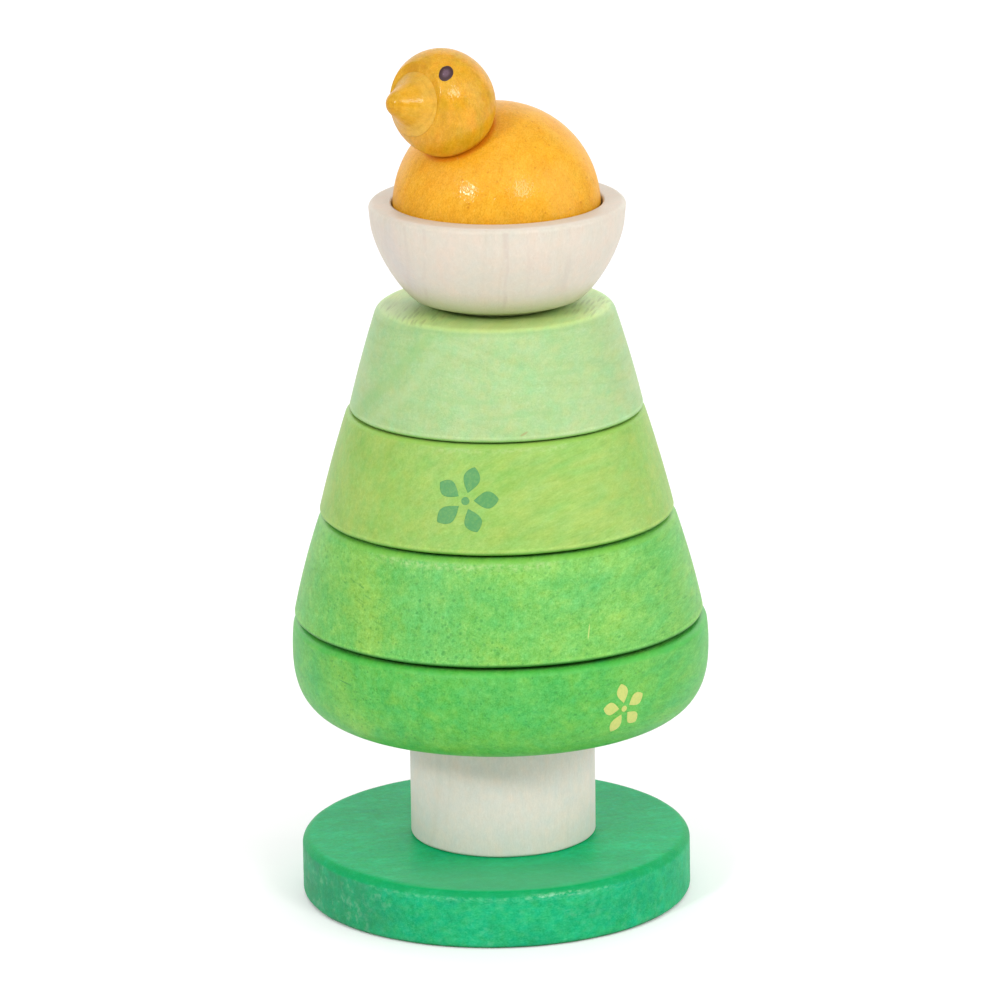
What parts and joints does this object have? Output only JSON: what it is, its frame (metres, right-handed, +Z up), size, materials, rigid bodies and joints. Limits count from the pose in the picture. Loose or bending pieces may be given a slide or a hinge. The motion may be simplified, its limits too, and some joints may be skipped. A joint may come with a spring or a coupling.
{
  "type": "stacking tree toy",
  "caption": "Wooden stacking tree: round base, short trunk, tapered crown rings on a hidden centre peg, a turned bowl as a nest and a bird with ball body, egg-shaped head and cone beak in it.",
  "frame": {"origin": "on the floor, on the centre line of the peg", "axes": "+Z up along the peg, -Y towards the viewer of the front, +X to that viewer's right; the bird looks to the front left"},
  "size_m": [0.0914, 0.0914, 0.1919],
  "materials": {
    "base_green": "emerald green wood stain, satin",
    "natural_wood": "bare pale wood, satin, grain upright",
    "peg_wood": "bare pale wood, matt",
    "leaf_green": "leaf green wood stain, satin",
    "mid_green": "green wood stain, uneven, satin",
    "yellow_green": "yellow-green wood stain, satin",
    "pale_green": "pale green wood stain, satin",
    "cream_wood": "bare pale wood, satin",
    "bird_orange": "orange wood stain, satin",
    "bird_gold": "golden yellow wood stain, satin",
    "beak_gold": "golden yellow wood stain, satin"
  },
  "bodies": {
    "stand": {"base_disc": "base_green", "trunk": "natural_wood", "centre_peg": "peg_wood"},
    "crown_bottom": {"bottom_ring": "leaf_green"},
    "crown_lower": {"lower_ring": "mid_green"},
    "crown_upper": {"upper_ring": "yellow_green"},
    "crown_top": {"top_ring": "pale_green"},
    "nest": {"nest_bowl": "cream_wood"},
    "bird": {"bird_body": "bird_orange", "bird_head": "bird_gold", "bird_beak": "beak_gold", "neck_dowel": "peg_wood"}
  },
  "joints": [
    {"name": "bottom_ring_lift", "type": "slide", "parent": "stand", "child": "crown_bottom", "axis": [0, 0, 1], "range_m": [0, 0.1]},
    {"name": "lower_ring_lift", "type": "slide", "parent": "crown_bottom", "child": "crown_lower", "axis": [0, 0, 1], "range_m": [0, 0.077]},
    {"name": "upper_ring_lift", "type": "slide", "parent": "crown_lower", "child": "crown_upper", "axis": [0, 0, 1], "range_m": [0, 0.054]},
    {"name": "top_ring_lift", "type": "slide", "parent": "crown_upper", "child": "crown_top", "axis": [0, 0, 1], "range_m": [0, 0.031]},
    {"name": "nest_lift", "type": "slide", "parent": "crown_top", "child": "nest", "axis": [0, 0, 1], "range_m": [0, 0.012]},
    {"name": "bird_lift", "type": "slide", "parent": "nest", "child": "bird", "axis": [0, 0, 1], "range_m": [0, 0.024]}
  ]
}
